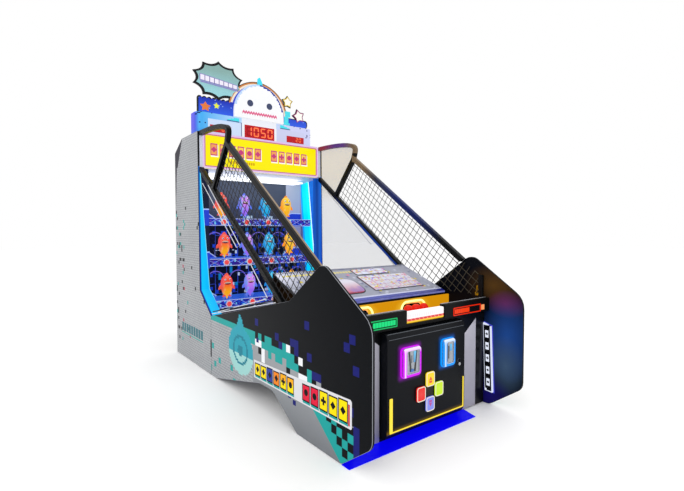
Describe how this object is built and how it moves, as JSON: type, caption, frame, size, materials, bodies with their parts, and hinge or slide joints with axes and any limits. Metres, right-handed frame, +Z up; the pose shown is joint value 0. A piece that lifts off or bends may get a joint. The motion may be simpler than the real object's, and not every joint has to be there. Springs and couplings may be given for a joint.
{
  "type": "ball-toss target machine",
  "caption": "Arcade ball-toss machine with a sloped throwing deck, netted side cages and rows of tilting fish targets in a lit cabinet.",
  "frame": {"origin": "centre of the footprint at floor level", "axes": "-Y faces the player, +X is the player's right, +Z up"},
  "size_m": [1.3, 2.89, 2.7293],
  "materials": {
    "cabinet_board": "printed laminate with a pale brick pattern",
    "side_board": "glossy black printed laminate",
    "black_board": "black laminate",
    "inner_board": "dark grey-blue paint",
    "side_light": "lit cyan acrylic",
    "shelf_print": "blue and purple print under gloss",
    "header_white": "white paint",
    "marquee_yellow": "lit yellow acrylic",
    "score_shell": "pale blue moulding",
    "display_red": "red display window",
    "topper_print": "printed sheet",
    "topper_white": "white moulding",
    "tube_black": "black powder coat",
    "net_cord": "black cord netting",
    "clear_sheet": "clear polycarbonate",
    "deck_print": "printed laminate",
    "amber_panel": "lit amber acrylic",
    "rail_black": "black moulding",
    "light_bar": "lit white bar",
    "blue_plate": "blue powder coat",
    "grey_box": "grey",
    "bare_steel": "brushed",
    "ball_red": "glossy red",
    "sign_white": "lit white acrylic",
    "coin_bezel": "lit magenta surround",
    "card_bezel": "lit cyan surround",
    "lock_chrome": "polished",
    "return_blue": "lit blue",
    "button_orange": "lit yellow cap",
    "button_green": "lit green cap",
    "button_red": "lit red cap",
    "button_lavender": "lit lavender cap",
    "target_orange": "painted moulding",
    "target_pink": "painted moulding",
    "target_teal": "painted moulding",
    "target_yellow": "painted moulding"
  },
  "bodies": {
    "cabinet": {"side_panel_left": "cabinet_board", "side_panel_right": "cabinet_board", "side_board_left": "side_board", "side_board_right": "side_board", "back_panel": "black_board", "front_panel": "black_board", "roof_panel": "black_board", "cabinet_floor": "inner_board", "target_wall": "inner_board", "ball_ramp": "inner_board", "ball_tray": "inner_board", "side_light_left": "side_light", "side_light_right": "side_light", "shelf_lower": "shelf_print", "shelf_middle": "shelf_print", "shelf_upper": "shelf_print", "header_box": "header_white", "marquee_face": "marquee_yellow", "score_box": "score_shell", "score_display": "display_red", "topper_board": "topper_print", "topper_dome": "topper_white", "cage_left": "tube_black", "cage_right": "tube_black", "net_left": "net_cord", "net_right": "net_cord", "clear_panel_left": "clear_sheet", "clear_panel_right": "clear_sheet", "deck": "deck_print", "ball_fascia": "amber_panel", "front_rail": "rail_black", "rail_light": "light_bar", "base_plate": "blue_plate", "control_box": "grey_box", "coin_box": "bare_steel", "ball_a": "ball_red", "ball_b": "ball_red", "side_sign": "sign_white"},
    "service_door": {"service_door": "black_board"},
    "coin_door": {"coin_door": "black_board", "coin_plate": "coin_bezel", "card_plate": "card_bezel"},
    "door_lock": {"door_lock": "lock_chrome"},
    "return_button": {"return_button": "return_blue"},
    "button_up": {"button_up": "button_orange"},
    "button_right": {"button_right": "button_green"},
    "button_left": {"button_left": "button_red"},
    "button_down": {"button_down": "button_lavender"},
    "target_lower_1": {"target_lower_1": "target_orange"},
    "target_lower_2": {"target_lower_2": "target_pink"},
    "target_lower_3": {"target_lower_3": "target_teal"},
    "target_lower_4": {"target_lower_4": "target_yellow"},
    "target_middle_1": {"target_middle_1": "target_orange"},
    "target_middle_2": {"target_middle_2": "target_pink"},
    "target_middle_3": {"target_middle_3": "target_teal"},
    "target_middle_4": {"target_middle_4": "target_yellow"},
    "target_upper_1": {"target_upper_1": "target_orange"},
    "target_upper_2": {"target_upper_2": "target_pink"},
    "target_upper_3": {"target_upper_3": "target_teal"},
    "target_upper_4": {"target_upper_4": "target_yellow"}
  },
  "joints": [
    {"name": "coin_door_hinge", "type": "hinge", "parent": "cabinet", "child": "coin_door", "pos_m": [-0.33, -1.2, 0.3], "axis": [0, 0, -1], "range_deg": [0, 100]},
    {"name": "door_lock_turn", "type": "hinge", "parent": "coin_door", "child": "door_lock", "pos_m": [0.281, -1.145, 0.349], "axis": [0, 1, 0], "range_deg": [0, 90]},
    {"name": "return_button_press", "type": "slide", "parent": "coin_door", "child": "return_button", "axis": [0, 1, 0], "range_m": [0, 0.003], "stiffness_N_per_m": 600, "springref_m": -0.001},
    {"name": "button_up_press", "type": "slide", "parent": "coin_door", "child": "button_up", "axis": [0, 1, 0], "range_m": [0, 0.004], "stiffness_N_per_m": 800, "springref_m": -0.002},
    {"name": "button_right_press", "type": "slide", "parent": "coin_door", "child": "button_right", "axis": [0, 1, 0], "range_m": [0, 0.004], "stiffness_N_per_m": 800, "springref_m": -0.002},
    {"name": "button_left_press", "type": "slide", "parent": "coin_door", "child": "button_left", "axis": [0, 1, 0], "range_m": [0, 0.004], "stiffness_N_per_m": 800, "springref_m": -0.002},
    {"name": "button_down_press", "type": "slide", "parent": "coin_door", "child": "button_down", "axis": [0, 1, 0], "range_m": [0, 0.004], "stiffness_N_per_m": 800, "springref_m": -0.002},
    {"name": "service_door_hinge", "type": "hinge", "parent": "cabinet", "child": "service_door", "pos_m": [-0.279, 1.4455, 0.85], "axis": [0, 0, 1], "range_deg": [0, 110]},
    {"name": "target_lower_1_tilt", "type": "hinge", "parent": "cabinet", "child": "target_lower_1", "pos_m": [-0.35, 0.932, 0.564], "axis": [-1, 0, 0], "range_deg": [0, 35], "stiffness_Nm_per_rad": 1.5, "springref_deg": -28.65},
    {"name": "target_lower_2_tilt", "type": "hinge", "parent": "cabinet", "child": "target_lower_2", "pos_m": [-0.117, 0.932, 0.564], "axis": [-1, 0, 0], "range_deg": [0, 35], "stiffness_Nm_per_rad": 1.5, "springref_deg": -28.65},
    {"name": "target_lower_3_tilt", "type": "hinge", "parent": "cabinet", "child": "target_lower_3", "pos_m": [0.117, 0.932, 0.564], "axis": [-1, 0, 0], "range_deg": [0, 35], "stiffness_Nm_per_rad": 1.5, "springref_deg": -28.65},
    {"name": "target_lower_4_tilt", "type": "hinge", "parent": "cabinet", "child": "target_lower_4", "pos_m": [0.35, 0.932, 0.564], "axis": [-1, 0, 0], "range_deg": [0, 35], "stiffness_Nm_per_rad": 1.5, "springref_deg": -28.65},
    {"name": "target_middle_1_tilt", "type": "hinge", "parent": "cabinet", "child": "target_middle_1", "pos_m": [-0.35, 0.982, 0.944], "axis": [-1, 0, 0], "range_deg": [0, 35], "stiffness_Nm_per_rad": 1.5, "springref_deg": -28.65},
    {"name": "target_middle_2_tilt", "type": "hinge", "parent": "cabinet", "child": "target_middle_2", "pos_m": [-0.117, 0.982, 0.944], "axis": [-1, 0, 0], "range_deg": [0, 35], "stiffness_Nm_per_rad": 1.5, "springref_deg": -28.65},
    {"name": "target_middle_3_tilt", "type": "hinge", "parent": "cabinet", "child": "target_middle_3", "pos_m": [0.117, 0.982, 0.944], "axis": [-1, 0, 0], "range_deg": [0, 35], "stiffness_Nm_per_rad": 1.5, "springref_deg": -28.65},
    {"name": "target_middle_4_tilt", "type": "hinge", "parent": "cabinet", "child": "target_middle_4", "pos_m": [0.35, 0.982, 0.944], "axis": [-1, 0, 0], "range_deg": [0, 35], "stiffness_Nm_per_rad": 1.5, "springref_deg": -28.65},
    {"name": "target_upper_1_tilt", "type": "hinge", "parent": "cabinet", "child": "target_upper_1", "pos_m": [-0.35, 1.042, 1.319], "axis": [-1, 0, 0], "range_deg": [0, 35], "stiffness_Nm_per_rad": 1.5, "springref_deg": -28.65},
    {"name": "target_upper_2_tilt", "type": "hinge", "parent": "cabinet", "child": "target_upper_2", "pos_m": [-0.117, 1.042, 1.319], "axis": [-1, 0, 0], "range_deg": [0, 35], "stiffness_Nm_per_rad": 1.5, "springref_deg": -28.65},
    {"name": "target_upper_3_tilt", "type": "hinge", "parent": "cabinet", "child": "target_upper_3", "pos_m": [0.117, 1.042, 1.319], "axis": [-1, 0, 0], "range_deg": [0, 35], "stiffness_Nm_per_rad": 1.5, "springref_deg": -28.65},
    {"name": "target_upper_4_tilt", "type": "hinge", "parent": "cabinet", "child": "target_upper_4", "pos_m": [0.35, 1.042, 1.319], "axis": [-1, 0, 0], "range_deg": [0, 35], "stiffness_Nm_per_rad": 1.5, "springref_deg": -28.65}
  ]
}
